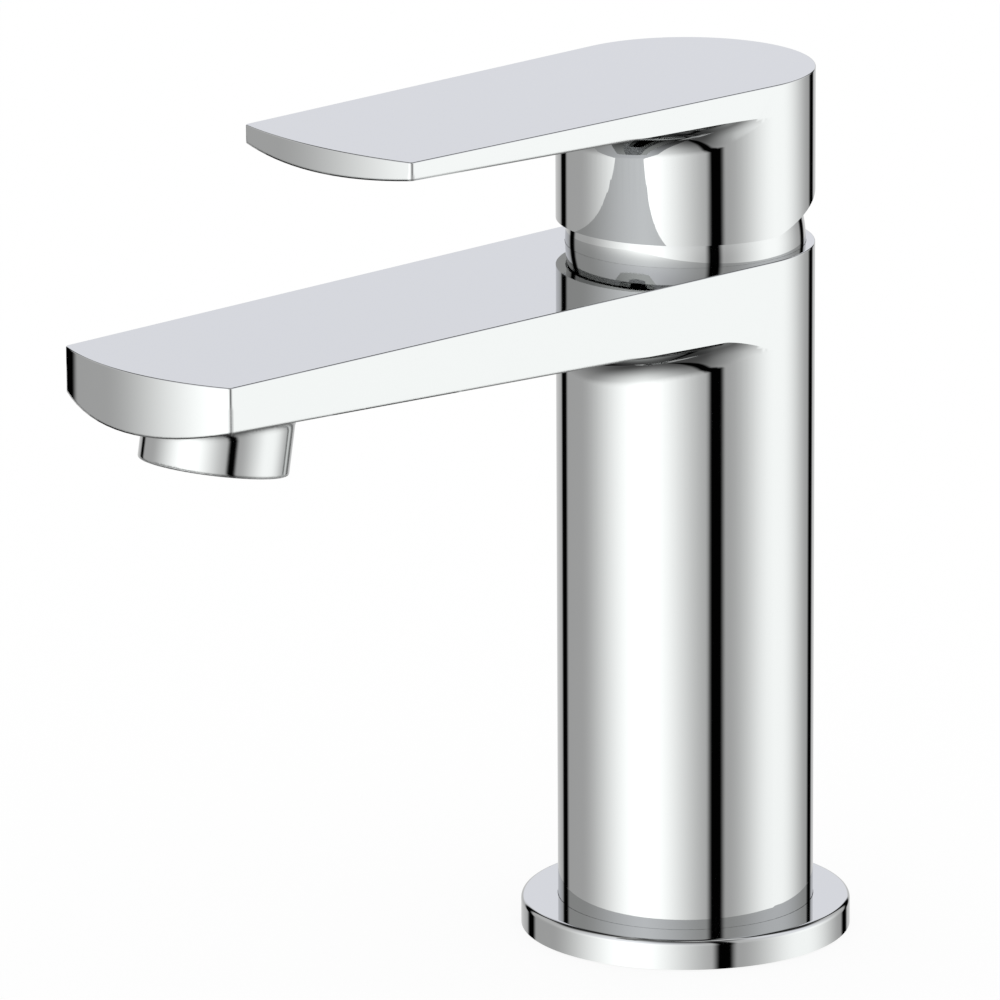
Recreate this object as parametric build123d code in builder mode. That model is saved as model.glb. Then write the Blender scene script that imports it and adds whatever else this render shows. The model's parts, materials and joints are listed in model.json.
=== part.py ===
"""Single-lever basin mixer: a column with a flat spout, a lever on a 35 mm ceramic cartridge, and an aerator.

Millimetres. +Z is up, the origin is on the column's axis at the deck, and the spout and lever point along -Y.
"""
from build123d import *
from math import acos, atan2, ceil, copysign, cos, degrees, hypot, radians, sin, sqrt, tan
import os

# Column, spout and flange
column_radius = 22.5
column_wall = 4.0
spout_taper = 1.0
spout_tip_reach = 129.9
spout_tip_bow = 4.5
spout_edge_height = 7.7
spout_crown = 3.0
spout_slope = 2.6
spout_root_fillet = 7.5
spout_crease_dip = 3.1
spout_crease_run = 13.0
spout_floor_wall = 2.6
spout_side_wall = 4.0
spout_roof_wall = 3.2
spout_end_wall = 5.0
spout_throat_length = 18.0
tangent_relief = 0.005
flange_radius = 29.0
flange_height = 5.25
flange_lip_height = 3.0
flange_edge_round = 1.0
flange_fit = 0.05
gasket_groove_depth = 1.6
gasket_width = 4.0
edge_round = 0.25
corner_round = 0.8

# Flares at the roots of the spout and the lever
under_margin = 12.0
root_core = 1.0
root_inset = 0.03
root_overlap = 0.08
root_overhang = 0.25
root_step_angle = 3.0
root_end_angle = 3.0
crease_power = 1.5

# Outlet boss and aerator
outlet_setback = 18.9
outlet_drop = 19.6
outlet_tilt = 10.4
outlet_radius = 12.7
outlet_root_cover = 1.1
outlet_rim_round = 0.4
outlet_root_fillet = 2.0
aerator_radius = 10.0
aerator_height = 8.0
aerator_recess = 0.8
aerator_wall = 1.3
aerator_lip = 1.0
aerator_lip_height = 1.2
aerator_insert_height = 5.0
aerator_cell = 1.1
aerator_web = 0.5
screen_thickness = 0.5
screen_hole_radius = 0.45
screen_pitch = 1.5
washer_height = 1.4
washer_width = 2.0
thread_clearance = 0.05

# Lever
lever_top_z = 154.5
lever_taper = 1.45
lever_tip_reach = 87.2
lever_tip_bow = 2.8
lever_roof = 3.25
lever_edge_height = 3.1
lever_crown = 1.45
lever_slope = 1.55
lever_root_fillet = 6.9
lever_crease_dip = 0.3
lever_crease_run = 19.0
hub_gap = 4.25
hub_relief_angle = 17.8
hub_cover_gap = 0.35
lift_angle = 22.0

# Dome cover and cartridge nut
dome_rim = 1.6
dome_fit = 0.05
dome_wall = 1.5
dome_skirt_step = 0.35
dome_seat_depth = 3.0
dome_mouth_gap = 2.0
nut_thread_height = 3.5
nut_hex_height = 3.5
nut_hex_relief = 0.6
nut_seat_depth = 6.0
nut_runout = 0.5
nut_thread_depth = 0.45
nut_neck_gap = 2.4

# Cartridge
cartridge_height = 32.5
water_gap = 1.5
collar_fit = 0.15
collar_height = 3.7
housing_wall = 1.6
housing_roof = 5.5
base_foot_height = 3.5
base_height = 6.0
base_spigot_fit = 0.1
outlet_slot_width = 14.0
outlet_slot_height = 2.2
port_radius = 2.4
port_offset_x = 5.6
port_offset_y = 1.5
outlet_port_radius = 3.6
outlet_port_y = -7.5
seal_width = 1.5
seal_depth = 1.8
peg_radius = 1.4
peg_height = 2.2
peg_fit = 0.1
peg_inset = 1.2
disc_height = 4.0
disc_fit = 0.2
disc_film = 0.05
moving_port_depth = 2.0
moving_port_side_wall = 3.7
moving_port_end_wall = 4.7
carrier_rim = 0.7
carrier_height = 7.5
carrier_overlap = 1.5
carrier_gap = 0.4
carrier_side_gap = 0.75
rail_inset = 3.4
rail_width = 1.5
rail_height = 1.2
rail_end_inset = 5.1
rail_gap = 0.3
guide_flange_gap = 0.4
guide_roof_gap = 0.3
neck_step = 4.5
neck_rise = 5.0
turn_fit = 0.06
stem_width = 8.0
stem_gap = 0.3
stem_square_drop = 6.0
stem_arm_radius = 3.0
stem_waist_radius = 1.8
stem_waist_height = 3.0
ball_radius = 2.4
ball_depth = 2.1
ball_gap = 0.35
pin_radius = 1.75
pin_inset = 0.6
pin_fit = 0.02
pivot_fit = 0.05
socket_depth = 6.5
socket_fit = 0.05
screw_radius = 2.5
screw_length = 10.0
screw_socket_width = 2.5
screw_socket_depth = 3.0
plug_radius = 3.4
plug_depth = 4.0
plug_fit = 0.05
o_ring_radius = 0.8
o_ring_squeeze = 0.05
dome_o_ring_radius = 0.45

# Floor under the cartridge, and the block below it with the threads for the supply hoses and the fixing stud
floor_thickness = 4.0
inlet_block_height = 9.0
hose_thread_radius = 4.5
hose_offset_x = 8.5
stud_thread_radius = 3.4
stud_offset_y = -11.0

# Radii that follow from the column inwards
column_bore_radius = column_radius - column_wall
dome_radius = column_radius - dome_rim
dome_inner_radius = dome_radius - dome_wall
nut_bore_radius = dome_inner_radius - dome_skirt_step
cartridge_bore_radius = nut_bore_radius - nut_thread_depth
collar_radius = cartridge_bore_radius - collar_fit
housing_radius = cartridge_bore_radius - water_gap
housing_inner_radius = housing_radius - housing_wall
guide_flange_radius = housing_inner_radius - guide_flange_gap
neck_radius = housing_inner_radius - neck_step
nut_inner_radius = neck_radius + nut_neck_gap
dome_mouth_radius = neck_radius + dome_mouth_gap
cavity_radius = dome_radius + hub_cover_gap
peg_reach = housing_inner_radius - peg_radius - peg_inset

# Heights that follow from the lever's top downwards: the dome is centred on the pivot, at the body's top
socket_top_z = lever_top_z - lever_roof
cavity_top_z = socket_top_z - socket_depth
pivot_z = cavity_top_z - cavity_radius
body_top_z = pivot_z
hub_bottom_z = body_top_z + hub_gap
dome_seat_z = body_top_z - dome_seat_depth
nut_seat_z = body_top_z - nut_seat_depth
floor_z = nut_seat_z - cartridge_height
block_top_z = floor_z - floor_thickness
block_z = block_top_z - inlet_block_height
outlet_z = body_top_z - outlet_drop
outlet_rise = outlet_drop - spout_edge_height + outlet_root_cover

# Heights inside the cartridge, from its floor upwards
disc_z = floor_z + base_height
moving_disc_z = disc_z + disc_height + disc_film
carrier_z = moving_disc_z + disc_height - carrier_overlap
carrier_top_z = carrier_z + carrier_height
guide_z = carrier_top_z + carrier_gap
housing_roof_z = nut_seat_z - housing_roof
guide_flange_top_z = housing_roof_z - guide_roof_gap
guide_top_z = pivot_z + neck_rise
ball_z = carrier_top_z - ball_depth

# Stroke of the moving disc for the lever's lift, and the disc and carrier that have room for it in the housing
stem_arm = pivot_z - ball_z
disc_stroke = stem_arm * sin(radians(lift_angle))
moving_disc_y = disc_stroke / 2
carrier_radius = housing_inner_radius - carrier_side_gap - moving_disc_y
moving_disc_radius = carrier_radius - carrier_rim
moving_port_width = 2 * (moving_disc_radius - moving_port_side_wall)
moving_port_length = 2 * (moving_disc_radius - moving_port_end_wall)
rail_offset = carrier_radius - rail_inset
rail_length = 2 * (guide_flange_radius - rail_end_inset)

# Reaches that follow from the tips of the spout and the lever
spout_corner_reach = spout_tip_reach - spout_tip_bow
lever_corner_reach = lever_tip_reach - lever_tip_bow
outlet_reach = spout_tip_reach - outlet_setback

# Forms of the two tongues: radius, taper, corner reach, top, edge height, crown and slope
spout_form = (
    column_radius,
    spout_taper,
    spout_corner_reach,
    body_top_z,
    spout_edge_height,
    spout_crown,
    spout_slope,
)
lever_form = (
    column_radius,
    lever_taper,
    lever_corner_reach,
    lever_top_z,
    lever_edge_height,
    lever_crown,
    lever_slope,
)

outlet_plane = Plane(
    origin=(0, -outlet_reach, outlet_z),
    x_dir=(1, 0, 0),
    z_dir=(0, sin(radians(outlet_tilt)), cos(radians(outlet_tilt))),
)


def side_half_width(radius, taper, reach):
    """Half width, at a reach from the axis, of sides that are tangent to a circle and close in by taper."""
    return radius / cos(radians(taper)) - reach * tan(radians(taper))


def tongue(radius, taper, corner_reach, tip_reach):
    """Plan outline of a round column or hub that runs into a long flat tongue with a bowed end."""
    corner = side_half_width(radius, taper, corner_reach)
    tangent_x = radius * cos(radians(taper))
    tangent_y = -radius * sin(radians(taper))
    with BuildSketch() as outline:
        with BuildLine():
            Line((tangent_x, tangent_y), (corner, -corner_reach))
            ThreePointArc((corner, -corner_reach), (0, -tip_reach), (-corner, -corner_reach))
            Line((-corner, -corner_reach), (-tangent_x, tangent_y))
            ThreePointArc((-tangent_x, tangent_y), (0, radius), (tangent_x, tangent_y))
        make_face()
    return outline.sketch


def underside_plane(top_z, corner_reach, slope):
    """Plane across a tongue at its corners, facing back along its sloping underside, with +Y up."""
    tilt = radians(slope)
    return Plane(origin=(0, -corner_reach, top_z), x_dir=(-1, 0, 0), z_dir=(0, cos(tilt), -sin(tilt)))


def crown_arc(half_width, edge_height, crown, reach, lift=0):
    """Points on the crowned underside's arc, from side to side at the given reach, raised by lift."""
    arc_radius = (half_width**2 + crown**2) / (2 * crown) - lift
    lowest = lift - edge_height - crown
    rise = arc_radius - sqrt(arc_radius**2 - reach**2)
    return (-reach, lowest + rise), (0, lowest), (reach, lowest + rise)


def under_tongue(radius, taper, corner_reach, top_z, edge_height, crown, slope):
    """The space under a tongue, round its column: what is cut away to leave the crowned underside."""
    half_width = side_half_width(radius, taper, corner_reach)
    reach = radius + under_margin
    with BuildPart() as space:
        with BuildSketch(underside_plane(top_z, corner_reach, slope)):
            with BuildLine():
                arc = ThreePointArc(*crown_arc(half_width, edge_height, crown, reach))
                Polyline(arc @ 1, (reach, -2 * top_z), (-reach, -2 * top_z), arc @ 0)
            make_face()
        extrude(amount=corner_reach + reach)
        extrude(space.faces().sort_by(Axis.Y)[0], amount=radius)
        with BuildSketch(Plane.XY.offset(-top_z)):
            Circle(radius)
        extrude(amount=3 * top_z, mode=Mode.SUBTRACT)
    return space.part


def root_flare(radius, taper, corner_reach, top_z, edge_height, crown, slope, tip_reach, fillet_radius, dip, run):
    """The flare that a column runs out into under a tongue, lofted through arcs in planes through the axis.

    At the front each arc ends on the underside. Towards the tongue's sides it is cut short by them, in a crease
    along their lower edge that dips below it over the last run before the sides meet the column.
    """
    half_width = side_half_width(radius, taper, corner_reach)
    arc_radius = (half_width**2 + crown**2) / (2 * crown)
    tilt = radians(slope)
    start = radius - root_inset
    tangent_angle = 90 - taper
    steps = ceil(tangent_angle / root_step_angle)
    angles = [tangent_angle * step / steps for step in range(-steps, steps + 1)]

    def underside_z(turn, reach):
        drop = edge_height + crown - arc_radius + sqrt(arc_radius**2 - (reach * sin(turn)) ** 2)
        return top_z - drop / cos(tilt) - (corner_reach - reach * cos(turn)) * tan(tilt)

    with BuildPart() as flare:
        for angle in (-tangent_angle - root_end_angle, *angles, tangent_angle + root_end_angle):
            turn = radians(angle)
            to_tangent = radians(tangent_angle - abs(angle))
            lean = atan2(
                underside_z(turn, radius + 2 * fillet_radius) - underside_z(turn, radius), 2 * fillet_radius
            )
            side = radius / cos(to_tangent) - start
            full = fillet_radius * (1 - sin(lean))
            if side < full:
                length = min(side + root_overhang, full)
                climb = copysign(sqrt(side * (2 * fillet_radius - side)), to_tangent)
                near = max(0, 1 - radius * tan(to_tangent) / run)
                foot_z = underside_z(turn, start + side) - climb + root_overlap
                foot_z -= (dip + root_overlap) * near**crease_power
            else:
                length = full
                foot_z = underside_z(turn, start + full) - fillet_radius * cos(lean) + root_overlap
            out = Vector(sin(turn), -cos(turn), 0)
            with BuildSketch(Plane(origin=(0, 0, foot_z), x_dir=out, z_dir=out.cross(Vector(0, 0, 1)))):
                with BuildLine():
                    arc = CenterArc(
                        (start + fillet_radius, 0), fillet_radius, 180, -degrees(acos(1 - length / fillet_radius))
                    )
                    roof = top_z - root_core - foot_z
                    Polyline(
                        arc @ 1,
                        (start + length, roof),
                        (start - root_core, roof),
                        (start - root_core, 0),
                        arc @ 0,
                    )
                make_face()
        loft(ruled=True)
        with BuildSketch():
            add(tongue(radius - tangent_relief, taper, corner_reach, tip_reach))
        extrude(amount=top_z, mode=Mode.INTERSECT)
    return flare.part


def spout_channel():
    """The water way from the cartridge's bore along the spout: floor parallel to the underside, level roof."""
    half_width = side_half_width(column_radius, spout_taper, spout_corner_reach)
    channel_half = half_width - spout_side_wall
    channel_end = spout_corner_reach - spout_end_wall
    roof_z = body_top_z - spout_roof_wall
    mouth_z = nut_seat_z - collar_height
    throat_y = cartridge_bore_radius + spout_throat_length
    with BuildPart() as channel:
        with BuildSketch(underside_plane(body_top_z, spout_corner_reach, spout_slope)):
            with BuildLine():
                arc = ThreePointArc(
                    *crown_arc(half_width, spout_edge_height, spout_crown, channel_half, spout_floor_wall)
                )
                Polyline(arc @ 1, (channel_half, body_top_z), (-channel_half, body_top_z), arc @ 0)
            make_face()
        extrude(amount=spout_corner_reach)
        with BuildSketch(Plane.YZ):
            with BuildLine():
                Polyline(
                    (-channel_end, 0),
                    (-channel_end, roof_z),
                    (-throat_y, roof_z),
                    (-cartridge_bore_radius, mouth_z),
                    (-neck_radius, mouth_z),
                    (-neck_radius, 0),
                    close=True,
                )
            make_face()
        extrude(amount=column_radius, both=True, mode=Mode.INTERSECT)
    return channel.part


def groove(z, height, outer_radius, inner_radius):
    """A ring about the column's axis, as the solid that a groove takes away."""
    with BuildPart() as ring:
        with BuildSketch(Plane.XY.offset(z)):
            Circle(outer_radius)
            Circle(inner_radius, mode=Mode.SUBTRACT)
        extrude(amount=height)
    return ring.part


inlet_ports = [(-port_offset_x, port_offset_y), (port_offset_x, port_offset_y)]
hose_sockets = [(-hose_offset_x, port_offset_y), (hose_offset_x, port_offset_y)]
peg_places = [(-peg_reach, 0), (peg_reach, 0)]
outlet_port = (0, outlet_port_y)

os.makedirs("parts", exist_ok=True)

# Column, spout and outlet boss in one casting
with BuildPart() as faucet_body:
    with BuildSketch(Plane.XY.offset(flange_lip_height)):
        add(tongue(column_radius - tangent_relief, spout_taper, spout_corner_reach, spout_tip_reach))
    extrude(amount=body_top_z - flange_lip_height)
    add(under_tongue(*spout_form), mode=Mode.SUBTRACT)
    add(root_flare(*spout_form, spout_tip_reach, spout_root_fillet, spout_crease_dip, spout_crease_run))
    with BuildSketch(outlet_plane):
        Circle(outlet_radius)
    extrude(amount=outlet_rise)
    boss_edges = faucet_body.edges(Select.LAST).filter_by(GeomType.LINE, reverse=True).sort_by(Axis.Z)
    fillet(boss_edges[1:], outlet_root_fillet)
    rim_edges = faucet_body.edges().filter_by(
        lambda edge: edge.geom_type == GeomType.CIRCLE and abs(edge.radius - outlet_radius) < tangent_relief
    )
    fillet(rim_edges, outlet_rim_round)
    fillet(faucet_body.edges().filter_by(Axis.Z).group_by(Axis.Y)[0], corner_round)
    fillet(faucet_body.faces().sort_by(Axis.Z)[-1].edges(), edge_round)
    # Hollow foot up to the floor under the cartridge, and the inlet ports through that floor
    with BuildSketch(Plane.XY.offset(flange_lip_height)):
        Circle(column_bore_radius)
    extrude(amount=block_top_z - flange_lip_height, mode=Mode.SUBTRACT)
    with BuildSketch(Plane.XY.offset(block_top_z)):
        with Locations(*inlet_ports):
            Circle(port_radius)
    extrude(amount=floor_thickness, mode=Mode.SUBTRACT)
    # Cartridge bore, nut thread and dome seat, and the water way to the outlet
    with BuildSketch(Plane.XY.offset(floor_z)):
        Circle(cartridge_bore_radius)
    extrude(amount=body_top_z - floor_z, mode=Mode.SUBTRACT)
    with BuildSketch(Plane.XY.offset(floor_z)):
        with Locations(*peg_places):
            Circle(peg_radius + peg_fit)
    extrude(amount=-peg_height - peg_fit, mode=Mode.SUBTRACT)
    with BuildSketch(Plane.XY.offset(nut_seat_z - nut_runout)):
        Circle(nut_bore_radius)
    extrude(amount=nut_seat_depth + nut_runout, mode=Mode.SUBTRACT)
    with BuildSketch(Plane.XY.offset(dome_seat_z)):
        Circle(dome_radius + dome_fit)
    extrude(amount=dome_seat_depth, mode=Mode.SUBTRACT)
    add(spout_channel(), mode=Mode.SUBTRACT)
    with BuildSketch(outlet_plane):
        Circle(aerator_radius - washer_width)
    extrude(amount=outlet_rise, mode=Mode.SUBTRACT)
    with BuildSketch(outlet_plane):
        Circle(aerator_radius + thread_clearance)
    extrude(amount=aerator_recess + aerator_height + washer_height, mode=Mode.SUBTRACT)
faucet_body.part.label = "faucet_body"
export_step(faucet_body.part, "parts/faucet_body.step")

# Block screwed up against the floor from below, with the threads for the two hoses and the fixing stud
with BuildPart() as inlet_block:
    with BuildSketch(Plane.XY.offset(block_z)):
        Circle(column_bore_radius - thread_clearance)
        with Locations(*hose_sockets):
            Circle(hose_thread_radius, mode=Mode.SUBTRACT)
        with Locations((0, stud_offset_y)):
            Circle(stud_thread_radius, mode=Mode.SUBTRACT)
    extrude(amount=inlet_block_height)
inlet_block.part.label = "inlet_block"
export_step(inlet_block.part, "parts/inlet_block.step")

# Round flange that the column stands in, with a gasket let into its underside
gasket_inner_radius = (column_bore_radius + flange_radius - gasket_width) / 2
with BuildPart() as base_flange:
    with BuildSketch():
        Circle(flange_radius)
        Circle(column_bore_radius, mode=Mode.SUBTRACT)
    extrude(amount=flange_height)
    rim_edges = base_flange.edges().group_by(Axis.Z)[-1].sort_by(SortBy.LENGTH)
    fillet(rim_edges[-1], flange_edge_round)
    with BuildSketch(Plane.XY.offset(flange_lip_height)):
        Circle(column_radius + flange_fit)
    extrude(amount=flange_height, mode=Mode.SUBTRACT)
    with BuildSketch():
        Circle(gasket_inner_radius + gasket_width)
        Circle(gasket_inner_radius, mode=Mode.SUBTRACT)
    extrude(amount=gasket_groove_depth, mode=Mode.SUBTRACT)
base_flange.part.label = "base_flange"
export_step(base_flange.part, "parts/base_flange.step")

with BuildPart() as base_gasket:
    with BuildSketch():
        Circle(gasket_inner_radius + gasket_width - flange_fit)
        Circle(gasket_inner_radius + flange_fit, mode=Mode.SUBTRACT)
    extrude(amount=gasket_groove_depth)
base_gasket.part.label = "base_gasket"
export_step(base_gasket.part, "parts/base_gasket.step")

# Round cover over the cartridge, centred on the lever's pivot, with a plain skirt in the body's seat
skirt_top_z = pivot_z + sqrt(dome_inner_radius**2 - nut_bore_radius**2)
mouth_outer_z = pivot_z + sqrt(dome_radius**2 - dome_mouth_radius**2)
mouth_inner_z = pivot_z + sqrt(dome_inner_radius**2 - dome_mouth_radius**2)
dome_ring_centre = dome_radius - dome_o_ring_radius
dome_ring_z = dome_seat_z + dome_seat_depth / 2
with BuildPart() as dome_cap:
    with BuildSketch(Plane.XZ):
        with BuildLine():
            Line((nut_bore_radius, dome_seat_z), (dome_radius, dome_seat_z))
            Line((dome_radius, dome_seat_z), (dome_radius, pivot_z))
            RadiusArc((dome_radius, pivot_z), (dome_mouth_radius, mouth_outer_z), -dome_radius)
            Line((dome_mouth_radius, mouth_outer_z), (dome_mouth_radius, mouth_inner_z))
            RadiusArc((dome_mouth_radius, mouth_inner_z), (nut_bore_radius, skirt_top_z), dome_inner_radius)
            Line((nut_bore_radius, skirt_top_z), (nut_bore_radius, dome_seat_z))
        make_face()
    revolve(axis=Axis.Z)
    ring_groove = groove(
        dome_ring_z - dome_o_ring_radius - o_ring_squeeze,
        2 * (dome_o_ring_radius + o_ring_squeeze),
        column_radius,
        dome_ring_centre - dome_o_ring_radius - o_ring_squeeze,
    )
    add(ring_groove, mode=Mode.SUBTRACT)
dome_cap.part.label = "dome_cap"
export_step(dome_cap.part, "parts/dome_cap.step")

with BuildPart() as dome_o_ring:
    with BuildSketch(Plane.XZ):
        with Locations((dome_ring_centre, dome_ring_z)):
            Circle(dome_o_ring_radius)
    revolve(axis=Axis.Z)
dome_o_ring.part.label = "dome_o_ring"
export_step(dome_o_ring.part, "parts/dome_o_ring.step")

# Nut that holds the cartridge down, with a hexagon for the spanner
with BuildPart() as cartridge_nut:
    with BuildSketch(Plane.XY.offset(nut_seat_z)):
        Circle(nut_bore_radius - thread_clearance)
    extrude(amount=nut_thread_height)
    with BuildSketch(Plane.XY.offset(nut_seat_z + nut_thread_height)):
        RegularPolygon(nut_bore_radius - nut_hex_relief, 6)
    extrude(amount=nut_hex_height)
    with BuildSketch(Plane.XY.offset(nut_seat_z)):
        Circle(nut_inner_radius)
    extrude(amount=nut_thread_height + nut_hex_height, mode=Mode.SUBTRACT)
cartridge_nut.part.label = "cartridge_nut"
export_step(cartridge_nut.part, "parts/cartridge_nut.step")

# Cartridge case: a housing with a sealed collar, on a base with the inlets and the side outlet
housing_z = floor_z + base_foot_height
housing_ring_centre = cartridge_bore_radius - o_ring_squeeze - o_ring_radius
housing_ring_z = nut_seat_z - collar_height / 2
with BuildPart() as cartridge_housing:
    with BuildSketch(Plane.XY.offset(housing_z)):
        Circle(housing_radius)
    extrude(amount=nut_seat_z - housing_z)
    with BuildSketch(Plane.XY.offset(nut_seat_z - collar_height)):
        Circle(collar_radius)
    extrude(amount=collar_height)
    with BuildSketch(Plane.XY.offset(housing_z)):
        Circle(housing_inner_radius)
    extrude(amount=housing_roof_z - housing_z, mode=Mode.SUBTRACT)
    with BuildSketch(Plane.XY.offset(housing_roof_z)):
        Circle(neck_radius + turn_fit)
    extrude(amount=housing_roof, mode=Mode.SUBTRACT)
    ring_groove = groove(
        housing_ring_z - o_ring_radius - o_ring_squeeze,
        2 * (o_ring_radius + o_ring_squeeze),
        column_radius,
        housing_ring_centre - o_ring_radius - o_ring_squeeze,
    )
    add(ring_groove, mode=Mode.SUBTRACT)
cartridge_housing.part.label = "cartridge_housing"
export_step(cartridge_housing.part, "parts/cartridge_housing.step")

with BuildPart() as housing_o_ring:
    with BuildSketch(Plane.XZ):
        with Locations((housing_ring_centre, housing_ring_z)):
            Circle(o_ring_radius)
    revolve(axis=Axis.Z)
housing_o_ring.part.label = "housing_o_ring"
export_step(housing_o_ring.part, "parts/housing_o_ring.step")

with BuildPart() as cartridge_base:
    with BuildSketch(Plane.XY.offset(floor_z)):
        Circle(housing_radius)
    extrude(amount=base_foot_height)
    with BuildSketch(Plane.XY.offset(housing_z)):
        Circle(housing_inner_radius - base_spigot_fit)
    extrude(amount=base_height - base_foot_height)
    with BuildSketch(Plane.XY.offset(floor_z - peg_height)):
        with Locations(*peg_places):
            Circle(peg_radius)
    extrude(amount=peg_height + base_height + peg_height)
    with BuildSketch(Plane.XY.offset(floor_z)):
        with Locations(*inlet_ports):
            Circle(port_radius)
    extrude(amount=base_height, mode=Mode.SUBTRACT)
    with BuildSketch(Plane.XY.offset(floor_z)):
        with Locations(*inlet_ports):
            Circle(port_radius + seal_width + peg_fit)
    extrude(amount=seal_depth, mode=Mode.SUBTRACT)
    with BuildSketch(Plane.XY.offset(disc_z)):
        with Locations(*inlet_ports):
            Circle(port_radius + seal_width + peg_fit)
        with Locations(outlet_port):
            Circle(outlet_port_radius + seal_width + peg_fit)
    extrude(amount=-seal_depth, mode=Mode.SUBTRACT)
    with BuildSketch(Plane.XY.offset(disc_z)):
        with Locations(outlet_port):
            Circle(outlet_port_radius)
    extrude(amount=housing_z - outlet_slot_height - disc_z, mode=Mode.SUBTRACT)
    with BuildSketch(Plane.XY.offset(housing_z - outlet_slot_height)):
        with Locations((0, outlet_port_y)):
            Rectangle(outlet_slot_width, housing_radius, align=(Align.CENTER, Align.MAX))
    extrude(amount=outlet_slot_height, mode=Mode.SUBTRACT)
cartridge_base.part.label = "cartridge_base"
export_step(cartridge_base.part, "parts/cartridge_base.step")

with BuildPart() as inlet_seals:
    with BuildSketch(Plane.XY.offset(floor_z)):
        with Locations(*inlet_ports):
            Circle(port_radius + seal_width)
            Circle(port_radius, mode=Mode.SUBTRACT)
    extrude(amount=seal_depth)
inlet_seals.part.label = "inlet_seals"
export_step(inlet_seals.part, "parts/inlet_seals.step")

with BuildPart() as disc_seals:
    with BuildSketch(Plane.XY.offset(disc_z)):
        with Locations(*inlet_ports):
            Circle(port_radius + seal_width)
            Circle(port_radius, mode=Mode.SUBTRACT)
        with Locations(outlet_port):
            Circle(outlet_port_radius + seal_width)
            Circle(outlet_port_radius, mode=Mode.SUBTRACT)
    extrude(amount=-seal_depth)
disc_seals.part.label = "disc_seals"
export_step(disc_seals.part, "parts/disc_seals.step")

# The two ceramic discs: the fixed one is keyed to the base, the moving one mixes in its hollowed face
with BuildPart() as fixed_disc:
    with BuildSketch(Plane.XY.offset(disc_z)):
        Circle(housing_inner_radius - disc_fit)
        with Locations(*peg_places):
            Circle(peg_radius + peg_fit, mode=Mode.SUBTRACT)
        with Locations(*inlet_ports):
            Circle(port_radius, mode=Mode.SUBTRACT)
        with Locations(outlet_port):
            Circle(outlet_port_radius, mode=Mode.SUBTRACT)
    extrude(amount=disc_height)
fixed_disc.part.label = "fixed_disc"
export_step(fixed_disc.part, "parts/fixed_disc.step")

with BuildPart() as moving_disc:
    with BuildSketch(Plane.XY.offset(moving_disc_z)):
        with Locations((0, moving_disc_y)):
            Circle(moving_disc_radius)
    extrude(amount=disc_height)
    with BuildSketch(Plane.XY.offset(moving_disc_z)):
        with Locations((0, moving_disc_y)):
            RectangleRounded(moving_port_width, moving_port_length, moving_port_depth)
    extrude(amount=moving_port_depth, mode=Mode.SUBTRACT)
moving_disc.part.label = "moving_disc"
export_step(moving_disc.part, "parts/moving_disc.step")

# Carrier over the moving disc: grooves for the guide's rails and a socket for the stem's ball
with BuildPart() as disc_carrier:
    with BuildSketch(Plane.XY.offset(carrier_z)):
        with Locations((0, moving_disc_y)):
            Circle(carrier_radius)
    extrude(amount=carrier_height)
    with BuildSketch(Plane.XY.offset(carrier_z)):
        with Locations((0, moving_disc_y)):
            Circle(moving_disc_radius + thread_clearance)
    extrude(amount=carrier_overlap, mode=Mode.SUBTRACT)
    with BuildSketch(Plane.XY.offset(carrier_top_z)):
        Circle(ball_radius + ball_gap)
    extrude(amount=-ball_depth - ball_radius - ball_gap, mode=Mode.SUBTRACT)
    with BuildSketch(Plane.XY.offset(carrier_top_z)):
        with Locations((-rail_offset, moving_disc_y), (rail_offset, moving_disc_y)):
            Rectangle(rail_width + 2 * rail_gap, 2 * carrier_radius)
    extrude(amount=carrier_gap - rail_height - rail_gap, mode=Mode.SUBTRACT)
disc_carrier.part.label = "disc_carrier"
export_step(disc_carrier.part, "parts/disc_carrier.step")

# Turntable: a flange in the housing, a neck through its roof, and a slot that the stem swings in
stem_half = stem_width / 2
swing_half = stem_half / cos(radians(lift_angle)) + stem_gap
top_swing = neck_rise * tan(radians(lift_angle))
bottom_swing = (pivot_z - guide_z + rail_height) * tan(radians(lift_angle))
with BuildPart() as stem_guide:
    with BuildSketch(Plane.XY.offset(guide_z)):
        Circle(guide_flange_radius)
    extrude(amount=guide_flange_top_z - guide_z)
    with BuildSketch(Plane.XY.offset(guide_z)):
        Circle(neck_radius)
    extrude(amount=guide_top_z - guide_z)
    with BuildSketch(Plane.XY.offset(guide_z)):
        with Locations((-rail_offset, 0), (rail_offset, 0)):
            Rectangle(rail_width, rail_length)
    extrude(amount=-rail_height)
    with BuildSketch(Plane.YZ):
        with BuildLine():
            Polyline(
                (-swing_half, guide_top_z),
                (-swing_half, pivot_z),
                (-swing_half - bottom_swing, guide_z - rail_height),
                (swing_half, guide_z - rail_height),
                (swing_half, pivot_z),
                (swing_half + top_swing, guide_top_z),
                close=True,
            )
        make_face()
    extrude(amount=stem_half + stem_gap, both=True, mode=Mode.SUBTRACT)
    with BuildSketch(Plane.YZ):
        with Locations((0, pivot_z)):
            Circle(pin_radius + pin_fit)
    extrude(amount=neck_radius, both=True, mode=Mode.SUBTRACT)
stem_guide.part.label = "stem_guide"
export_step(stem_guide.part, "parts/stem_guide.step")

with BuildPart() as pivot_pin:
    with BuildSketch(Plane.YZ):
        with Locations((0, pivot_z)):
            Circle(pin_radius)
    extrude(amount=neck_radius - pin_inset, both=True)
pivot_pin.part.label = "pivot_pin"
export_step(pivot_pin.part, "parts/pivot_pin.step")

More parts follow.
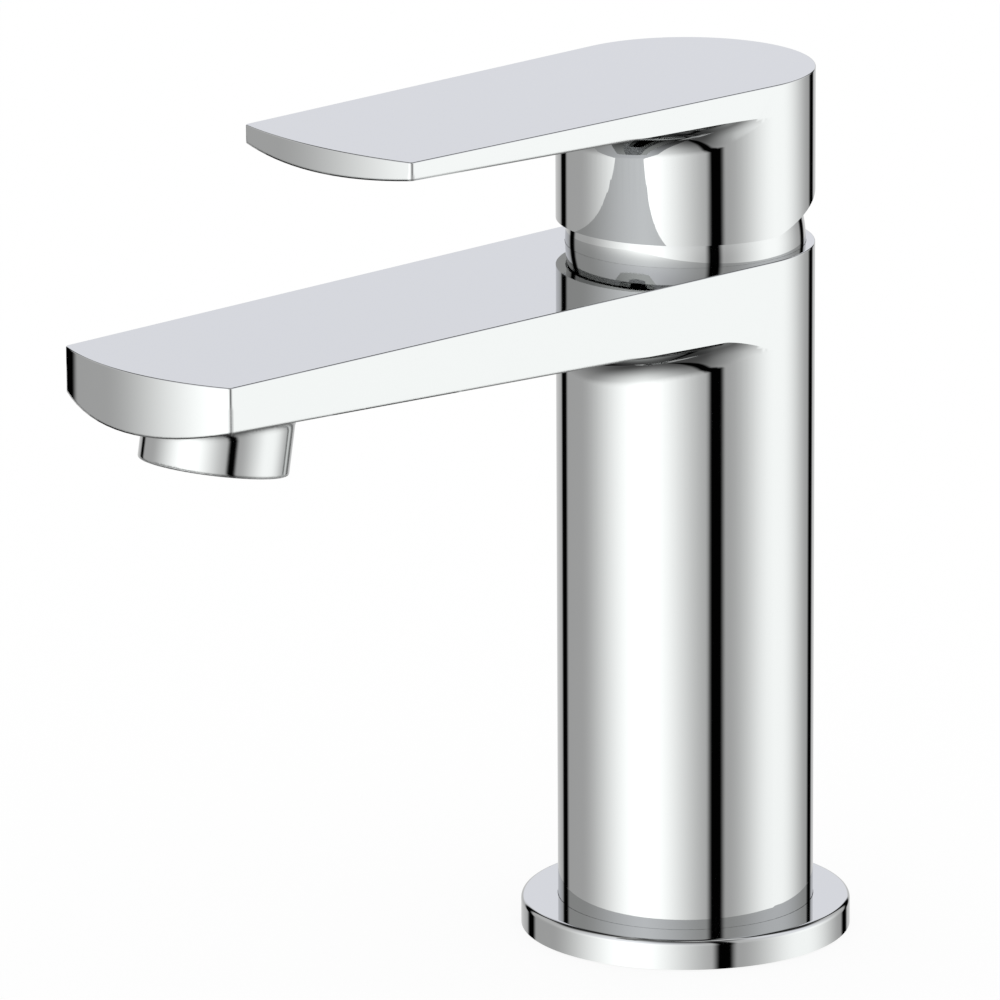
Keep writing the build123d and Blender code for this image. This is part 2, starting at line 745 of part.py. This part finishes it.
# Stem: square end in the lever, eye on the pin, and an arm that ends in a ball
square_z = pivot_z - stem_square_drop
with BuildPart() as lever_stem:
    with BuildSketch(Plane.XY.offset(square_z)):
        Rectangle(stem_width, stem_width)
    extrude(amount=socket_top_z - stem_gap - square_z)
    with BuildSketch(Plane.XY.offset(ball_z + stem_waist_height)):
        Circle(stem_arm_radius)
    extrude(amount=square_z - ball_z - stem_waist_height)
    with BuildSketch(Plane.XY.offset(ball_z)):
        Circle(stem_waist_radius)
    extrude(amount=stem_waist_height)
    with Locations((0, 0, ball_z)):
        Sphere(ball_radius)
    with BuildSketch(Plane.YZ):
        with Locations((0, pivot_z)):
            Circle(pin_radius + pivot_fit)
    extrude(amount=stem_width, both=True, mode=Mode.SUBTRACT)
lever_stem.part.label = "lever_stem"
export_step(lever_stem.part, "parts/lever_stem.step")

# Lever: hub and paddle in one casting, hollowed round the dome and relieved at the rear for the lift
screw_z = (cavity_top_z + socket_top_z) / 2
relief_reach = column_radius + hub_gap
with BuildPart() as lever_handle:
    with BuildSketch(Plane.XY.offset(hub_bottom_z)):
        add(tongue(column_radius - tangent_relief, lever_taper, lever_corner_reach, lever_tip_reach))
    extrude(amount=lever_top_z - hub_bottom_z)
    add(under_tongue(*lever_form), mode=Mode.SUBTRACT)
    add(root_flare(*lever_form, lever_tip_reach, lever_root_fillet, lever_crease_dip, lever_crease_run))
    fillet(lever_handle.edges().filter_by(Axis.Z).group_by(Axis.Y)[0], corner_round)
    fillet(lever_handle.faces().sort_by(Axis.Z)[-1].edges(), edge_round)
    with BuildSketch(Plane.YZ):
        with BuildLine():
            Polyline(
                (0, hub_bottom_z),
                (relief_reach, hub_bottom_z),
                (relief_reach, hub_bottom_z + relief_reach * tan(radians(hub_relief_angle))),
                close=True,
            )
        make_face()
    extrude(amount=relief_reach, both=True, mode=Mode.SUBTRACT)
    with Locations((0, 0, pivot_z)):
        Sphere(cavity_radius, mode=Mode.SUBTRACT)
    with BuildSketch(Plane.XY.offset(pivot_z)):
        Rectangle(stem_width + 2 * socket_fit, stem_width + 2 * socket_fit)
    extrude(amount=socket_top_z - pivot_z, mode=Mode.SUBTRACT)
    with BuildSketch(Plane.XZ):
        with Locations((0, screw_z)):
            Circle(screw_radius)
    extrude(amount=-column_radius, mode=Mode.SUBTRACT)
    with BuildSketch(Plane.XZ.offset(-column_radius)):
        with Locations((0, screw_z)):
            Circle(plug_radius)
    extrude(amount=plug_depth, mode=Mode.SUBTRACT)
lever_handle.part.label = "lever_handle"
export_step(lever_handle.part, "parts/lever_handle.step")

with BuildPart() as set_screw:
    with BuildSketch(Plane.XZ.offset(-stem_half)):
        with Locations((0, screw_z)):
            Circle(screw_radius - thread_clearance)
    extrude(amount=-screw_length)
    with BuildSketch(Plane.XZ.offset(-stem_half - screw_length)):
        with Locations((0, screw_z)):
            RegularPolygon(screw_socket_width / 2, 6, major_radius=False)
    extrude(amount=screw_socket_depth, mode=Mode.SUBTRACT)
set_screw.part.label = "set_screw"
export_step(set_screw.part, "parts/set_screw.step")

with BuildPart() as index_plug:
    with BuildSketch(Plane.XZ.offset(-column_radius)):
        with Locations((0, screw_z)):
            Circle(plug_radius - plug_fit)
    extrude(amount=plug_depth)
    with BuildSketch(Plane.XY.offset(hub_bottom_z)):
        Circle(column_radius - tangent_relief)
    extrude(amount=lever_top_z - hub_bottom_z, mode=Mode.INTERSECT)
index_plug.part.label = "index_plug"
export_step(index_plug.part, "parts/index_plug.step")

# Aerator in the outlet boss: washer, threaded case, honeycomb insert and screen
insert_radius = aerator_radius - aerator_wall - thread_clearance
insert_z = aerator_recess + aerator_lip_height
screen_z = insert_z + aerator_insert_height
washer_z = aerator_recess + aerator_height
with BuildPart() as aerator_housing:
    with BuildSketch(outlet_plane.offset(aerator_recess)):
        Circle(aerator_radius)
        Circle(aerator_radius - aerator_wall - aerator_lip, mode=Mode.SUBTRACT)
    extrude(amount=aerator_height)
    with BuildSketch(outlet_plane.offset(insert_z)):
        Circle(aerator_radius - aerator_wall)
    extrude(amount=aerator_height, mode=Mode.SUBTRACT)
aerator_housing.part.label = "aerator_housing"
export_step(aerator_housing.part, "parts/aerator_housing.step")

cell_pitch = 2 * aerator_cell + aerator_web
cell_reach = insert_radius - aerator_lip - aerator_cell - aerator_web
cell_rows = int(2 * cell_reach / cell_pitch) + 2
with BuildPart() as aerator_insert:
    with BuildSketch(outlet_plane.offset(insert_z)):
        Circle(insert_radius)
        with HexLocations(cell_pitch / 2, cell_rows, cell_rows) as cells:
            centres = [place.position for place in cells.local_locations]
        with Locations(*[(c.X, c.Y) for c in centres if hypot(c.X, c.Y) < cell_reach]):
            RegularPolygon(aerator_cell, 6, major_radius=False, mode=Mode.SUBTRACT)
    extrude(amount=aerator_insert_height)
aerator_insert.part.label = "aerator_insert"
export_step(aerator_insert.part, "parts/aerator_insert.step")

screen_rows = int(2 * cell_reach / screen_pitch) + 1
with BuildPart() as aerator_screen:
    with BuildSketch(outlet_plane.offset(screen_z)):
        Circle(insert_radius)
        with GridLocations(screen_pitch, screen_pitch, screen_rows, screen_rows) as grid:
            centres = [place.position for place in grid.local_locations]
        with Locations(*[(c.X, c.Y) for c in centres if hypot(c.X, c.Y) < cell_reach]):
            Circle(screen_hole_radius, mode=Mode.SUBTRACT)
    extrude(amount=screen_thickness)
aerator_screen.part.label = "aerator_screen"
export_step(aerator_screen.part, "parts/aerator_screen.step")

with BuildPart() as aerator_washer:
    with BuildSketch(outlet_plane.offset(washer_z)):
        Circle(aerator_radius)
        Circle(aerator_radius - washer_width, mode=Mode.SUBTRACT)
    extrude(amount=washer_height)
aerator_washer.part.label = "aerator_washer"
export_step(aerator_washer.part, "parts/aerator_washer.step")
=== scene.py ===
"""Looks of the single-lever basin mixer: polished chrome in a soft studio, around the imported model."""
import json
from math import cos, degrees, radians, sin

import bpy
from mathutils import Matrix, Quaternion, Vector


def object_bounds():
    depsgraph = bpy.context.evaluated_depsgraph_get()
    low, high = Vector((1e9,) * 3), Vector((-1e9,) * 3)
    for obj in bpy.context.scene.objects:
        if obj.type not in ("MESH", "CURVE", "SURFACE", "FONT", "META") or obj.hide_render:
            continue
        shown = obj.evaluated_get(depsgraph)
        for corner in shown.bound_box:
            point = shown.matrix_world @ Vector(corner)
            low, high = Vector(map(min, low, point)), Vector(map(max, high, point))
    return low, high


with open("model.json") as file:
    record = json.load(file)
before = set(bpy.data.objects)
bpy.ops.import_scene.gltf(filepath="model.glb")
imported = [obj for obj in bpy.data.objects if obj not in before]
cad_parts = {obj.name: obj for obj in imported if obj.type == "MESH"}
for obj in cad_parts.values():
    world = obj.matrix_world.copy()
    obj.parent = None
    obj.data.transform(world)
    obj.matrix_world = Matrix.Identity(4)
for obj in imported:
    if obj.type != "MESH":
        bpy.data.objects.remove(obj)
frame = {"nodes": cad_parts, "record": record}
cad_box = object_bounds()
nodes = frame["nodes"]
scene = bpy.context.scene
scene.view_settings.view_transform = "Standard"

# Camera: lengths in metres, lens and sensor in millimetres
camera_azimuth = radians(46.10)
camera_elevation = radians(15.16)
camera_roll = radians(0.30)
camera_distance = 1.6905
camera_aim = Vector((-0.02293, -0.02285, 0.07673))
camera_lens = 348.5
camera_sensor = 36.0
camera_far = 10 * camera_distance

# Studio surround that only mirrors see. A level of 1 is white. A pair is where a smooth ramp starts and
# ends: in degrees of elevation for heights, foot and from, in parts of a unit direction for strip_half,
# strip_front and overhead_front, and otherwise in degrees of azimuth from the camera's or from the rear.
wall_low = 0.62
wall_high = 0.75
wall_heights = (-8, 12)
wall_foot = (-75, -8)
back_wall = 0.88
back_half = (18, 42)
panel_tint = (0.985, 1.0, 0.995)
panel_upper = 0.58
upper_tint = (0.93, 0.945, 1.0)
panel_heights = (0, 26)
key_level = 2.1
key_rise = (-110, -36)
key_fall = (-40, 28)
key_foot = (-92, -8)
fill_level = 1.72
fill_rise = (34, 86)
fill_fall = (93, 141)
fill_foot = (-75, -5)
rear_level = 1.34
rear_tint = (0.93, 0.94, 1.0)
rear_half = (20, 40)
rear_foot = (2, 10)
ceiling_level = 0.05
ceiling_half = (60, 90)
ceiling_from = (30, 44)
strip_from = (15, 80)
strip_half = (0.25, 0.6)
strip_front = (-0.1, 0.1)
overhead_level = 1.0
overhead_from = (66, 72)
overhead_front = (0.06, 0.0)
zenith_from = (79, 84)
nadir_level = 0.10
flag_level = 0.001
flag_centres = (-140.0, 26.4, 148.5)
flag_half = (3.5, 9.7)

# Even light on the object, and the floor: lengths in metres
light_level = 1.0
floor_half = 4.0
floor_drop = 0.0002
floor_colour = 0.8
floor_shaded = 0.12

# Normals of the curved faces: the distance in metres
weld_distance = 1e-6
sharp_angle = radians(18.5)

# Lower edges of the spout and the lever, which are sharp and are shaded as if rounded: the radius in
# metres, how many times the normal's turn is made larger, and where the edges lie along Y and Z
edge_softness = 0.0006
edge_turn = 3.0
edge_samples = 8
edge_reach = (-0.030, -0.036)
spout_edge_below = (0.1195, 0.1210)
lever_edge_above = (0.1400, 0.1450)
lever_edge_below = (0.1518, 0.1532)

# Rounded rim of the base flange, which is shaded from its true section: lengths in metres, and the
# cosines between the mesh's normal and the true one at which the true one takes over
rim_radius = 0.029
rim_top = 0.00525
rim_round = 0.001
rim_agreement = (0.85, 0.93)

# Finishes: noise_middle is where most of a noise's values lie, depths and the seam are in metres
noise_middle = (0.3, 0.7)
chrome_colour = (0.549, 0.556, 0.554)
chrome_grazing = (0.8, 0.8, 0.8)
chrome_haze = (0.7, 1.4)
chrome_roughness = (0.012, 0.045)
chrome_wave_depth = 1e-6
rub_stretch = (1.0, 1.0, 9.0)
streak_stretch = (1.0, 1.0, 0.05)
ring_wobble = 0.4
speckle_span = (0.4, 0.72)
index_seam = 0.00008

# Sockets of a mix node by the type of data: the two inputs, and the output
mix_sockets = {"VECTOR": (slice(4, 6), 1), "RGBA": (slice(6, 8), 2)}


class Nodes:
    """Short ways to add nodes to a material's or the world's tree."""

    def __init__(self, tree):
        self.tree = tree
        tree.nodes.clear()

    def add(self, kind, **settings):
        node = self.tree.nodes.new(kind)
        for name, value in settings.items():
            setattr(node, name, value)
        return node

    def feed(self, socket, value):
        if isinstance(value, bpy.types.NodeSocket):
            self.tree.links.new(value, socket)
        else:
            socket.default_value = value

    def feed_all(self, sockets, values):
        for socket, value in zip(sockets, values):
            self.feed(socket, value)

    def math(self, operation, *values):
        node = self.add("ShaderNodeMath", operation=operation)
        self.feed_all(node.inputs, values)
        return node.outputs[0]

    def vector(self, operation, *values):
        node = self.add("ShaderNodeVectorMath", operation=operation)
        self.feed_all(node.inputs, values)
        return node.outputs["Vector"]

    def scaled(self, vector, factor):
        node = self.add("ShaderNodeVectorMath", operation="SCALE")
        self.feed(node.inputs[0], vector)
        self.feed(node.inputs["Scale"], factor)
        return node.outputs["Vector"]

    def dot(self, first, second):
        node = self.add("ShaderNodeVectorMath", operation="DOT_PRODUCT")
        self.feed_all(node.inputs, (first, second))
        return node.outputs["Value"]

    def split(self, vector):
        """The X, Y and Z of a vector."""
        node = self.add("ShaderNodeSeparateXYZ")
        self.feed(node.inputs[0], vector)
        return node.outputs

    def ramp(self, value, start, end, low=0.0, high=1.0):
        """Goes smoothly from low to high as value goes from start to end."""
        node = self.add("ShaderNodeMapRange", interpolation_type="SMOOTHSTEP")
        names = ("Value", "From Min", "From Max", "To Min", "To Max")
        self.feed_all((node.inputs[name] for name in names), (value, start, end, low, high))
        return node.outputs[0]

    def mix(self, data_type, factor, first, second):
        node = self.add("ShaderNodeMix", data_type=data_type)
        pair, output = mix_sockets[data_type]
        self.feed(node.inputs[0], factor)
        self.feed_all(node.inputs[pair], (first, second))
        return node.outputs[output]

    def blend(self, factor, first, second):
        """Colour that goes from first to second as factor goes from 0 to 1."""
        return self.mix("RGBA", factor, first, second)

    def choose(self, factor, first, second):
        """Shader that goes from first to second as factor goes from 0 to 1."""
        node = self.add("ShaderNodeMixShader")
        self.feed_all(node.inputs, (factor, first, second))
        return node.outputs[0]


class Surface(Nodes):
    """A material that varies over the object it is on, in metres."""

    def __init__(self, name):
        self.material = bpy.data.materials.new(name)
        self.material.use_nodes = True
        super().__init__(self.material.node_tree)
        self.place = self.add("ShaderNodeTexCoord").outputs["Object"]
        self.shader = self.add("ShaderNodeBsdfPrincipled")
        self.feed(self.add("ShaderNodeOutputMaterial").inputs["Surface"], self.shader.outputs[0])

    def set(self, name, value):
        self.feed(self.shader.inputs[name], value)

    def noise(self, scale, detail=2.0, stretch=(1.0, 1.0, 1.0)):
        mapping = self.add("ShaderNodeMapping")
        self.feed(mapping.inputs["Vector"], self.place)
        self.feed(mapping.inputs["Scale"], stretch)
        node = self.add("ShaderNodeTexNoise")
        self.feed(node.inputs["Vector"], mapping.outputs[0])
        self.feed(node.inputs["Scale"], scale)
        self.feed(node.inputs["Detail"], detail)
        return node.outputs["Fac"]

    def rings(self, scale):
        """Turning marks about the column's axis."""
        node = self.add("ShaderNodeTexWave", wave_type="RINGS", rings_direction="Z")
        self.feed(node.inputs["Vector"], self.place)
        self.feed(node.inputs["Scale"], scale)
        self.feed(node.inputs["Distortion"], ring_wobble)
        return node.outputs["Fac"]

    def bump(self, height, depth, normal=None):
        node = self.add("ShaderNodeBump")
        self.feed(node.inputs["Height"], height)
        self.feed(node.inputs["Distance"], depth)
        if normal is not None:
            self.feed(node.inputs["Normal"], normal)
        self.set("Normal", node.outputs[0])


def rgb(red, green, blue):
    return (red, green, blue, 1.0)


def grey(level, tint=(1.0, 1.0, 1.0)):
    return rgb(*(level * c for c in tint))


def studio_world():
    """White to the camera, soft even light on the object, and the studio's panels and flags to mirrors."""
    world = bpy.data.worlds.new("studio")
    scene.world = world
    world.use_nodes = True
    n = Nodes(world.node_tree)
    x, y, z = n.split(n.add("ShaderNodeTexCoord").outputs["Generated"])
    to_degrees = degrees(1.0)
    azimuth = n.math("MULTIPLY", n.math("ARCTAN2", x, n.math("MULTIPLY", y, -1.0)), to_degrees)
    turned = n.math("WRAP", n.math("SUBTRACT", azimuth, degrees(camera_azimuth)), 180.0, -180.0)
    height = n.math("MULTIPLY", n.math("ARCSINE", z), to_degrees)
    from_rear = n.math("SUBTRACT", 180.0, n.math("ABSOLUTE", turned))
    along, aside = cos(camera_azimuth), sin(camera_azimuth)
    across = n.math("ADD", n.math("MULTIPLY", x, along), n.math("MULTIPLY", y, aside))
    ahead = n.math("SUBTRACT", n.math("MULTIPLY", x, aside), n.math("MULTIPLY", y, along))

    def fade(value, span):
        return n.ramp(value, *span, low=1.0, high=0.0)

    def both(first, second):
        return n.math("MULTIPLY", first, second)

    # Walls
    colour = n.blend(n.ramp(height, *wall_heights), grey(wall_low), grey(wall_high))
    colour = n.blend(n.ramp(from_rear, *back_half), grey(back_wall), colour)
    colour = n.blend(n.ramp(height, *wall_foot), grey(nadir_level), colour)

    # Key and fill panels, dimmer and bluer towards the top, and the rear panel
    upper = n.ramp(height, *panel_heights, low=1.0, high=panel_upper)
    for level, rise, fall, foot in (
        (key_level, key_rise, key_fall, key_foot),
        (fill_level, fill_rise, fill_fall, fill_foot),
    ):
        panel = both(both(n.ramp(turned, *rise), fade(turned, fall)), both(n.ramp(height, *foot), upper))
        glow = n.blend(
            n.ramp(height, *panel_heights), grey(level, panel_tint), grey(level, upper_tint)
        )
        colour = n.blend(panel, colour, glow)
    rear = both(n.ramp(height, *rear_foot), fade(from_rear, rear_half))
    colour = n.blend(rear, colour, grey(rear_level, rear_tint))

    # Dark ceiling over the rear, and a dark strip over the front
    ceiling = both(n.ramp(height, *ceiling_from), fade(from_rear, ceiling_half))
    colour = n.blend(ceiling, colour, grey(ceiling_level))
    strip = both(fade(n.math("ABSOLUTE", across), strip_half), n.ramp(ahead, *strip_front))
    colour = n.blend(both(n.ramp(height, *strip_from), strip), colour, grey(ceiling_level))

    # Black flags, and the light from overhead, which they don't cover
    for centre in flag_centres:
        off = n.math("ABSOLUTE", n.math("SUBTRACT", turned, centre))
        colour = n.blend(fade(off, flag_half), colour, grey(flag_level))
    overhead = both(n.ramp(height, *overhead_from), n.ramp(ahead, *overhead_front))
    overhead = n.math("MAXIMUM", overhead, n.ramp(height, *zenith_from))
    colour = n.blend(overhead, colour, grey(overhead_level))

    def background(colour, strength):
        node = n.add("ShaderNodeBackground")
        n.feed(node.inputs["Color"], colour)
        n.feed(node.inputs["Strength"], strength)
        return node.outputs[0]

    ray = n.add("ShaderNodeLightPath").outputs
    mirrored = n.math("MAXIMUM", ray["Is Glossy Ray"], ray["Is Transmission Ray"])
    lit = n.choose(mirrored, background(grey(1.0), light_level), background(colour, 1.0))
    seen = n.choose(ray["Is Camera Ray"], lit, background(grey(1.0), 1.0))
    n.feed(n.add("ShaderNodeOutputWorld").inputs["Surface"], seen)


def photo_camera():
    data = bpy.data.cameras.new("camera")
    data.lens = camera_lens
    data.sensor_width = camera_sensor
    data.clip_end = camera_far
    camera = bpy.data.objects.new("camera", data)
    back = Vector((
        sin(camera_azimuth) * cos(camera_elevation),
        -cos(camera_azimuth) * cos(camera_elevation),
        sin(camera_elevation),
    ))
    camera.location = camera_aim + back * camera_distance
    upright = back.to_track_quat("Z", "Y")
    camera.rotation_euler = (upright @ Quaternion((0, 0, 1), -camera_roll)).to_euler()
    scene.collection.objects.link(camera)
    scene.camera = camera


def pale_floor():
    """A white floor that keeps a soft shadow. Mirrors see the surround, which goes on below it."""
    material = bpy.data.materials.new("floor")
    material.use_nodes = True
    n = Nodes(material.node_tree)

    def matt(level):
        node = n.add("ShaderNodeBsdfDiffuse")
        n.feed(node.inputs["Color"], grey(level))
        return node.outputs[0]

    glow = n.add("ShaderNodeEmission")
    n.feed(glow.inputs["Strength"], 1.0 - floor_shaded * light_level)
    bright = n.add("ShaderNodeAddShader")
    n.feed_all(bright.inputs, (matt(floor_shaded), glow.outputs[0]))
    ray = n.add("ShaderNodeLightPath").outputs
    seen = n.choose(ray["Is Camera Ray"], matt(floor_colour), bright.outputs[0])
    n.feed(n.add("ShaderNodeOutputMaterial").inputs["Surface"], seen)

    z = cad_box[0].z - floor_drop
    corners = [(-1, -1), (1, -1), (1, 1), (-1, 1)]
    mesh = bpy.data.meshes.new("floor")
    mesh.from_pydata(
        [(floor_half * x, floor_half * y, z) for x, y in corners], [], [range(len(corners))]
    )
    mesh.materials.append(material)
    floor = bpy.data.objects.new("floor", mesh)
    floor.visible_glossy = False
    floor.visible_transmission = False
    scene.collection.objects.link(floor)


def edge_normal(s, flat):
    """Normal that turns towards the rounding at the lower edges of the spout and the lever."""
    _, y, z = s.split(s.place)
    below_spout = s.ramp(z, *spout_edge_below, low=1.0, high=0.0)
    below_lever = s.ramp(z, *lever_edge_below, low=1.0, high=0.0)
    on_lever = s.math("MULTIPLY", s.ramp(z, *lever_edge_above), below_lever)
    on_edge = s.math("MULTIPLY", s.ramp(y, *edge_reach), s.math("ADD", below_spout, on_lever))
    edge = s.add("ShaderNodeBevel", samples=edge_samples)
    s.feed(edge.inputs["Radius"], s.math("MULTIPLY", on_edge, edge_softness))
    turn = s.scaled(s.vector("SUBTRACT", edge.outputs[0], flat), edge_turn)
    return s.vector("NORMALIZE", s.vector("ADD", flat, turn))


def rim_normal(s, flat):
    """Normal of the base flange's top, rounded rim and side, wherever the mesh agrees with it."""
    x, y, z = s.split(s.place)
    reach = s.math("SQRT", s.math("ADD", s.math("MULTIPLY", x, x), s.math("MULTIPLY", y, y)))
    out = s.math("MAXIMUM", s.math("SUBTRACT", reach, rim_radius - rim_round), 0.0)
    up = s.math("MAXIMUM", s.math("SUBTRACT", z, rim_top - rim_round), 0.0)
    share = s.math("DIVIDE", out, reach)
    joined = s.add("ShaderNodeCombineXYZ")
    s.feed_all(joined.inputs, (s.math("MULTIPLY", x, share), s.math("MULTIPLY", y, share), up))
    in_world = s.add(
        "ShaderNodeVectorTransform", vector_type="NORMAL", convert_from="OBJECT", convert_to="WORLD"
    )
    s.feed(in_world.inputs[0], joined.outputs[0])
    true = s.vector("NORMALIZE", in_world.outputs[0])
    return s.mix("VECTOR", s.ramp(s.dot(flat, true), *rim_agreement), flat, true)


def polished_chrome(name, shaped_normal):
    """Mirror plating with a breath of haze, faint rubbing marks and a barely wavy face."""
    s = Surface(name)
    haze = s.noise(scale=60.0, detail=3.0)
    rubbed = s.noise(scale=140.0, detail=4.0, stretch=rub_stretch)
    normal = shaped_normal(s, s.add("ShaderNodeNewGeometry").outputs["Normal"])
    s.set("Base Color", rgb(*chrome_colour))
    s.set("Specular Tint", rgb(*chrome_grazing))
    s.set("Metallic", 1.0)
    s.set("Roughness", s.ramp(s.math("ADD", haze, rubbed), *chrome_haze, *chrome_roughness))
    s.bump(s.noise(scale=250.0, detail=1.0), chrome_wave_depth, normal)
    return s.material


def brass():
    """Turned brass: fine rings from the tool, and a slightly uneven tone."""
    s = Surface("brass")
    tone = s.noise(scale=180.0, detail=3.0)
    light, dark = rgb(0.83, 0.66, 0.36), rgb(0.72, 0.55, 0.28)
    s.set("Base Color", s.blend(s.ramp(tone, *noise_middle), light, dark))
    s.set("Metallic", 1.0)
    s.set("Roughness", s.ramp(tone, *noise_middle, low=0.2, high=0.36))
    s.bump(s.rings(scale=2000.0), depth=6e-6)
    return s.material


def steel():
    """Plain stainless steel with fine drawn streaks."""
    s = Surface("steel")
    streaks = s.noise(scale=900.0, detail=3.0, stretch=streak_stretch)
    light, dark = rgb(0.70, 0.70, 0.71), rgb(0.60, 0.60, 0.61)
    s.set("Base Color", s.blend(s.ramp(streaks, *noise_middle), light, dark))
    s.set("Metallic", 1.0)
    s.set("Roughness", s.ramp(streaks, *noise_middle, low=0.22, high=0.38))
    s.bump(streaks, depth=4e-6)
    return s.material


def alumina():
    """Lapped ceramic: off-white, with a fine speckle and a satin face."""
    s = Surface("alumina")
    speckle = s.noise(scale=2500.0)
    light, dark = rgb(0.93, 0.92, 0.89), rgb(0.85, 0.83, 0.79)
    s.set("Base Color", s.blend(s.ramp(speckle, *speckle_span), light, dark))
    s.set("Roughness", s.ramp(speckle, *noise_middle, low=0.18, high=0.3))
    s.bump(speckle, depth=2e-6)
    return s.material


def moulded(name, light, dark, roughness, grain, depth):
    """Moulded plastic or rubber: a slightly uneven tone and the fine grain of the mould."""
    s = Surface(name)
    tone = s.noise(scale=120.0, detail=3.0)
    texture = s.noise(scale=grain)
    s.set("Base Color", s.blend(s.ramp(tone, *noise_middle), light, dark))
    s.set("Roughness", s.ramp(texture, *noise_middle, *roughness))
    s.bump(texture, depth)
    return s.material


def index_plastic():
    """Gloss plug in two colours: red on the hot side, blue on the cold side."""
    s = Surface("index_plastic")
    x, _, _ = s.split(s.place)
    cold = s.ramp(x, -index_seam, index_seam)
    tone = s.noise(scale=600.0)
    red = s.blend(tone, rgb(0.62, 0.025, 0.02), rgb(0.52, 0.015, 0.015))
    blue = s.blend(tone, rgb(0.02, 0.09, 0.5), rgb(0.015, 0.06, 0.4))
    s.set("Base Color", s.blend(cold, red, blue))
    s.set("Roughness", s.ramp(tone, *noise_middle, low=0.16, high=0.26))
    s.bump(s.noise(scale=1500.0, detail=1.0), depth=3e-6)
    return s.material


def smooth(node):
    """Shading normals that follow the curved faces, with the real edges kept sharp."""
    weld = node.modifiers.new("weld", "WELD")
    weld.merge_threshold = weld_distance
    split = node.modifiers.new("split", "EDGE_SPLIT")
    split.split_angle = sharp_angle
    split.use_edge_sharp = False
    normals = node.modifiers.new("normals", "WEIGHTED_NORMAL")
    normals.mode = "FACE_AREA_WITH_ANGLE"


studio_world()
photo_camera()
pale_floor()
finishes = {
    "polished_chrome": polished_chrome("polished_chrome", edge_normal),
    "brass": brass(),
    "steel": steel(),
    "alumina": alumina(),
    "grey_plastic": moulded(
        "grey_plastic",
        light=rgb(0.34, 0.35, 0.37),
        dark=rgb(0.30, 0.31, 0.33),
        roughness=(0.42, 0.6),
        grain=1800.0,
        depth=8e-6,
    ),
    "white_plastic": moulded(
        "white_plastic",
        light=rgb(0.87, 0.87, 0.85),
        dark=rgb(0.82, 0.82, 0.79),
        roughness=(0.36, 0.52),
        grain=1800.0,
        depth=8e-6,
    ),
    "index_plastic": index_plastic(),
    "black_rubber": moulded(
        "black_rubber",
        light=rgb(0.045, 0.045, 0.045),
        dark=rgb(0.03, 0.03, 0.031),
        roughness=(0.6, 0.82),
        grain=1200.0,
        depth=1.5e-5,
    ),
}
for part in frame["record"]["subparts"]:
    node = nodes[part["node"]]
    node.data.materials.clear()
    node.data.materials.append(finishes[part["material_slot"]])
    smooth(node)
nodes["base_flange"].data.materials[0] = polished_chrome("polished_chrome_rim", rim_normal)
